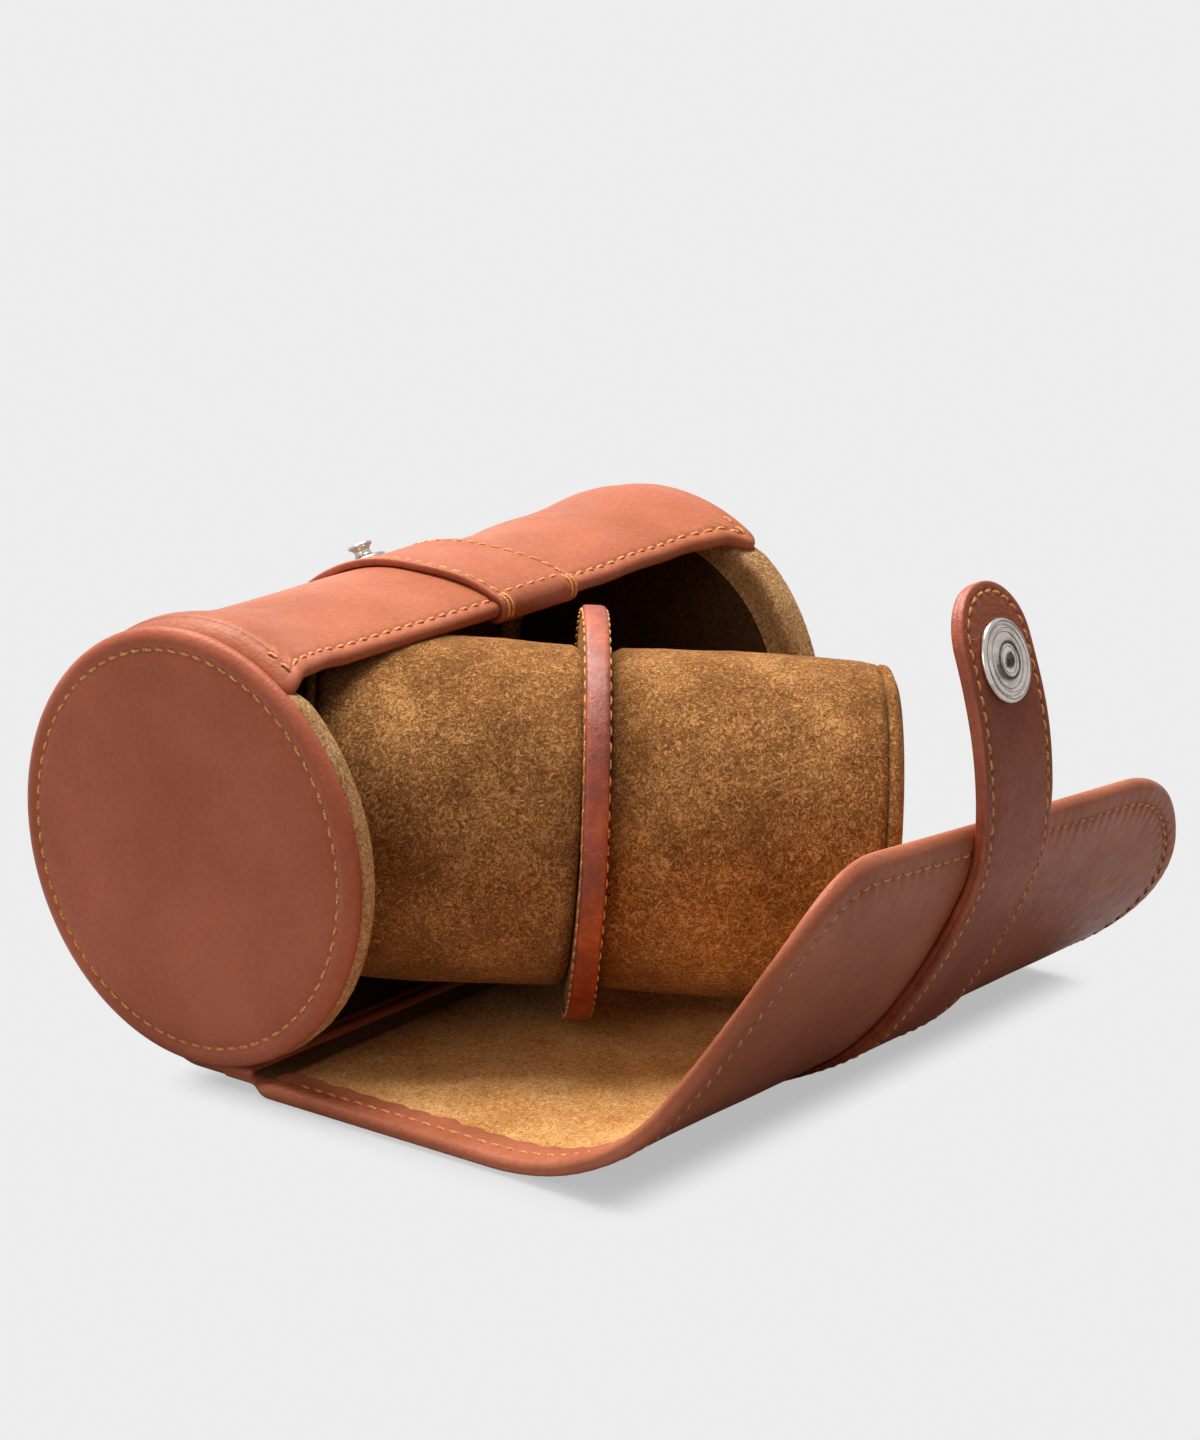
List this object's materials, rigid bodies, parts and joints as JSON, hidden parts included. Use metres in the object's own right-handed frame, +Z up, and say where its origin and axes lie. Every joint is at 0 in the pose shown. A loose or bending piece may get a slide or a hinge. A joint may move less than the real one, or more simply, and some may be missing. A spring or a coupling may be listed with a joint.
{
  "type": "watch roll",
  "caption": "Round leather watch roll lying open: capped shell with a belt and stud, a curling suede-lined flap with a snap strap, and a divided cushion roll half out.",
  "frame": {"origin": "middle of the flat heel on the underside of the case, on the surface that the case rests on", "axes": "+X along the case from the near cap to the far cap, -Y out through the open front and along the flap, +Z up"},
  "size_m": [0.1428, 0.1775, 0.0974],
  "materials": {
    "tan_leather": "smooth tan leather with a soft sheen",
    "edge_leather": "painted orange-brown leather edge",
    "suede": "golden-brown suede with a matt nap",
    "foam": "soft foam",
    "board": "plain stiffening board",
    "nickel": "polished nickel"
  },
  "bodies": {
    "case": {"shell_leather": "tan_leather", "shell_lining": "suede", "cap_cover_left": "tan_leather", "cap_cover_right": "tan_leather", "cap_board_left": "board", "cap_board_right": "board", "cap_pad_left": "suede", "cap_pad_right": "suede", "belt": "tan_leather", "snap_stud": "nickel", "stud_rivet": "nickel", "flap_floor_leather": "tan_leather", "flap_floor_suede": "suede"},
    "flap_bend": {"flap_bend_leather": "tan_leather", "flap_bend_suede": "suede", "strap_bend_inner": "tan_leather", "strap_bend_outer": "tan_leather"},
    "flap_front": {"flap_front_leather": "tan_leather", "flap_front_suede": "suede", "strap_front_inner": "tan_leather", "strap_front_outer": "tan_leather"},
    "flap_tip": {"flap_tip_leather": "tan_leather", "flap_tip_suede": "suede", "strap_tip_inner": "tan_leather", "strap_tip_outer": "tan_leather"},
    "strap_neck": {"strap_neck_inner": "tan_leather", "strap_neck_outer": "tan_leather"},
    "strap_end": {"strap_end_inner": "tan_leather", "strap_end_outer": "tan_leather", "snap_cap": "nickel", "snap_socket": "nickel"},
    "cushion_roll": {"cushion_sleeve_left": "suede", "cushion_sleeve_right": "suede", "cushion_core_left": "foam", "cushion_core_right": "foam", "cushion_end_left": "suede", "cushion_end_right": "suede", "divider_board": "board", "divider_edge": "edge_leather", "divider_suede_left": "suede", "divider_suede_right": "suede"}
  },
  "joints": [
    {"name": "flap_lift", "type": "hinge", "parent": "case", "child": "flap_bend", "pos_m": [0, -0.0624, 0.0028], "axis": [-1, 0, 0], "range_deg": [0, 4]},
    {"name": "flap_fold", "type": "hinge", "parent": "flap_bend", "child": "flap_front", "pos_m": [0, -0.10323, 0.01898], "axis": [-0.9994, 0.0337, 0.0025], "range_deg": [-24, 12]},
    {"name": "flap_tip_fold", "type": "hinge", "parent": "flap_front", "child": "flap_tip", "pos_m": [0, -0.11551, 0.03895], "axis": [-0.9963, -0.0345, 0.0787], "range_deg": [-24, 12]},
    {"name": "strap_flex", "type": "hinge", "parent": "flap_tip", "child": "strap_neck", "pos_m": [0, -0.12444, 0.05703], "axis": [-1, 0, 0], "range_deg": [-30, 20]},
    {"name": "strap_end_flex", "type": "hinge", "parent": "strap_neck", "child": "strap_end", "pos_m": [0, -0.12201, 0.0715], "axis": [-1, 0, 0], "range_deg": [-27, 18]},
    {"name": "roll_swing", "type": "hinge", "parent": "case", "child": "cushion_roll", "pos_m": [-0.0077, -0.0312, 0.0408], "axis": [0, 0, 1], "range_deg": [-10, 7]}
  ],
  "couplings": [
    {"joint": "flap_tip_fold", "follows": "flap_fold", "ratio": 1},
    {"joint": "strap_end_flex", "follows": "strap_flex", "ratio": 0.9}
  ]
}
